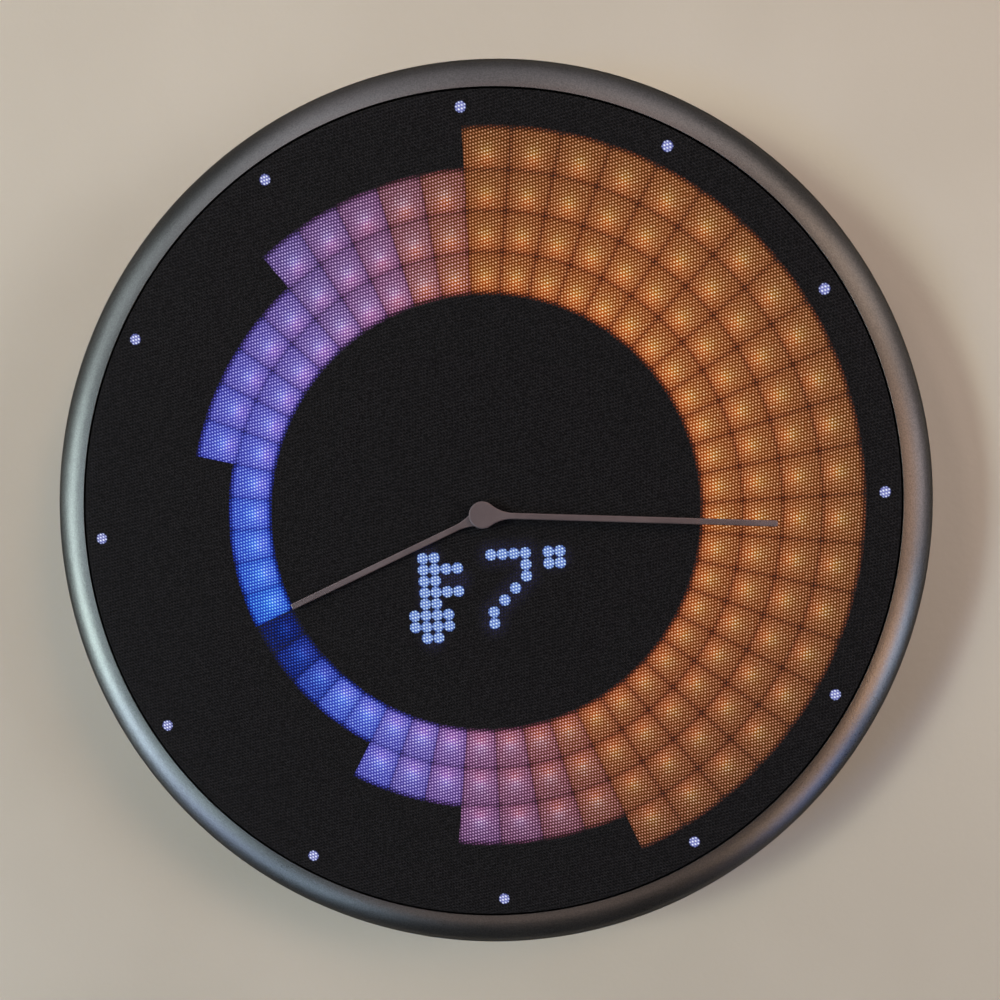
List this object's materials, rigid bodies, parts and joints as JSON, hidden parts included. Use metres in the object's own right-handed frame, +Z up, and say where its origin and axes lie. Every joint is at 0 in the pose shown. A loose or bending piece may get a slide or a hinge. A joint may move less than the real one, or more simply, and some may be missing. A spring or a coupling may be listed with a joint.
{
  "type": "smart wall clock",
  "caption": "Round wall clock with two hands over a stretched cloth face lit from behind by a ring of cells, hour dots and a small dot matrix.",
  "frame": {"origin": "on the hands' axis, in the wall's plane, at the rear face of the wall plate", "axes": "-Y out of the wall, the way the face looks; +Z up to twelve o'clock; +X to the right when the face is looked at"},
  "size_m": [0.2148, 0.0296, 0.2148],
  "materials": {
    "rim_metal": "bead-blasted and anodised dark grey, satin",
    "face_cloth": "tight plain weave, charcoal",
    "hand_metal": "matt brown grey, bright bevelled edge",
    "shell_plastic": "fine spark-eroded texture",
    "black_plastic": "plain moulded",
    "plated_metal": "nickel plated",
    "plain_steel": "rolled sheet",
    "dark_screw": "blackened",
    "soft_rubber": "matt",
    "board_laminate": "solder mask",
    "light_resin": "clear over white",
    "lens_resin": "milky",
    "chip_resin": "moulded epoxy",
    "socket_plastic": "plain moulded",
    "ribbon_film": "smooth film",
    "button_plastic": "fine matt",
    "cell_wrap": "foil pouch",
    "lead_jacket": "smooth",
    "drive_plastic": "plain moulded",
    "gear_plastic": "unfilled natural",
    "gear_brass": "cut brass",
    "copper_wire": "enamelled wire"
  },
  "bodies": {
    "wall_mount": {"wall_plate": "shell_plastic", "holding_magnets": "plated_metal"},
    "clock_body": {"strike_ring": "plain_steel", "wall_bumpers": "soft_rubber", "rear_shell": "shell_plastic", "bezel_ring": "rim_metal", "case_screws": "dark_screw", "fabric_hoop": "black_plastic", "front_fabric": "face_cloth", "light_grid": "black_plastic", "light_board": "board_laminate", "ring_lights": "light_resin", "hour_lights": "light_resin", "matrix_lights": "light_resin", "hour_light_pipes": "lens_resin", "matrix_lens": "lens_resin", "driver_chips": "chip_resin", "board_screws": "dark_screw", "ribbon_sockets": "socket_plastic", "ribbon_cable": "ribbon_film", "control_board": "board_laminate", "control_screws": "dark_screw", "charge_port": "plated_metal", "port_tongue": "chip_resin", "radio_board": "board_laminate", "radio_can": "plated_metal", "processor": "chip_resin", "push_switch": "socket_plastic", "battery_cell_left": "cell_wrap", "battery_cell_right": "cell_wrap", "battery_pads": "soft_rubber", "battery_lead_left": "lead_jacket", "battery_lead_right": "lead_jacket", "lead_plugs": "socket_plastic", "motor_lead": "lead_jacket", "movement_rear_case": "drive_plastic", "movement_front_case": "drive_plastic", "movement_screws": "dark_screw", "stator": "plain_steel", "coil_core": "plain_steel", "coil_bobbin": "black_plastic", "coil_winding": "copper_wire"},
    "minute_set": {"minute_hand": "hand_metal", "minute_arbor": "gear_brass"},
    "hour_set": {"hour_hand": "hand_metal", "hour_wheel": "gear_plastic"},
    "reverser_set": {"reverser_wheel": "gear_plastic"},
    "third_set": {"third_wheel": "gear_plastic"},
    "rotor_set": {"rotor_magnet": "plated_metal", "rotor_pinion": "gear_plastic"},
    "pairing_set": {"pairing_button": "button_plastic"}
  },
  "joints": [
    {"name": "clock_pull_off", "type": "slide", "parent": "wall_mount", "child": "clock_body", "axis": [0, -1, 0], "range_m": [0, 0.04]},
    {"name": "minute_spin", "type": "hinge", "parent": "clock_body", "child": "minute_set", "pos_m": [0, -0.02, 0], "axis": [0, 1, 0], "continuous": true},
    {"name": "hour_spin", "type": "hinge", "parent": "clock_body", "child": "hour_set", "pos_m": [0, -0.02, 0], "axis": [0, 1, 0], "continuous": true},
    {"name": "reverser_spin", "type": "hinge", "parent": "clock_body", "child": "reverser_set", "pos_m": [-0.012, -0.015, 0], "axis": [0, 1, 0], "continuous": true},
    {"name": "third_spin", "type": "hinge", "parent": "clock_body", "child": "third_set", "pos_m": [0, -0.012, 0.0112], "axis": [0, 1, 0], "continuous": true},
    {"name": "rotor_spin", "type": "hinge", "parent": "clock_body", "child": "rotor_set", "pos_m": [0.0096, -0.012, 0.0112], "axis": [0, 1, 0], "continuous": true},
    {"name": "pairing_press", "type": "slide", "parent": "clock_body", "child": "pairing_set", "axis": [0, -1, 0], "range_m": [0, 0.0005], "stiffness_N_per_m": 400}
  ],
  "couplings": [
    {"joint": "hour_spin", "follows": "minute_spin", "ratio": 0.083333},
    {"joint": "reverser_spin", "follows": "minute_spin", "ratio": -0.33333},
    {"joint": "third_spin", "follows": "minute_spin", "ratio": -6},
    {"joint": "rotor_spin", "follows": "minute_spin", "ratio": 30}
  ]
}
